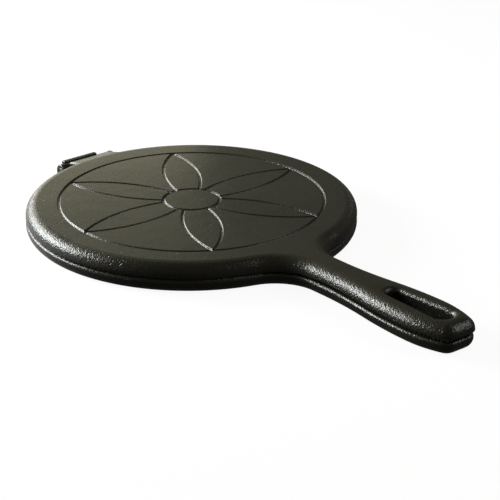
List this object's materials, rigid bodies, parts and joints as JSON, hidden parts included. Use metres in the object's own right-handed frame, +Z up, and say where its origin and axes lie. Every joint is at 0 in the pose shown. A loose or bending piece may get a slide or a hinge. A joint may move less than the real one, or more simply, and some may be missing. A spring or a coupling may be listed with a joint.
{
  "type": "stroopwafel iron",
  "caption": "Hinged cast iron stroopwafel iron for the hob, with round gridded baking plates and a flat slotted handle in two halves.",
  "frame": {"origin": "centre of the round plates, on the flat face that the closed iron rests on", "axes": "+X along the handle towards its end, +Y along the hinge pin, +Z up, square to the plates"},
  "size_m": [0.3435, 0.2, 0.018],
  "materials": {
    "seasoned_iron": "satin, oil-seasoned, fine sand-cast grain",
    "pin_steel": "darkened steel"
  },
  "bodies": {
    "lower_half": {"lower_plate": "seasoned_iron", "hinge_pin": "pin_steel"},
    "upper_half": {"upper_plate": "seasoned_iron"}
  },
  "joints": [
    {"name": "plate_hinge", "type": "hinge", "parent": "lower_half", "child": "upper_half", "pos_m": [-0.1075, 0, 0.0091], "axis": [0, -1, 0], "range_deg": [0, 180]}
  ]
}
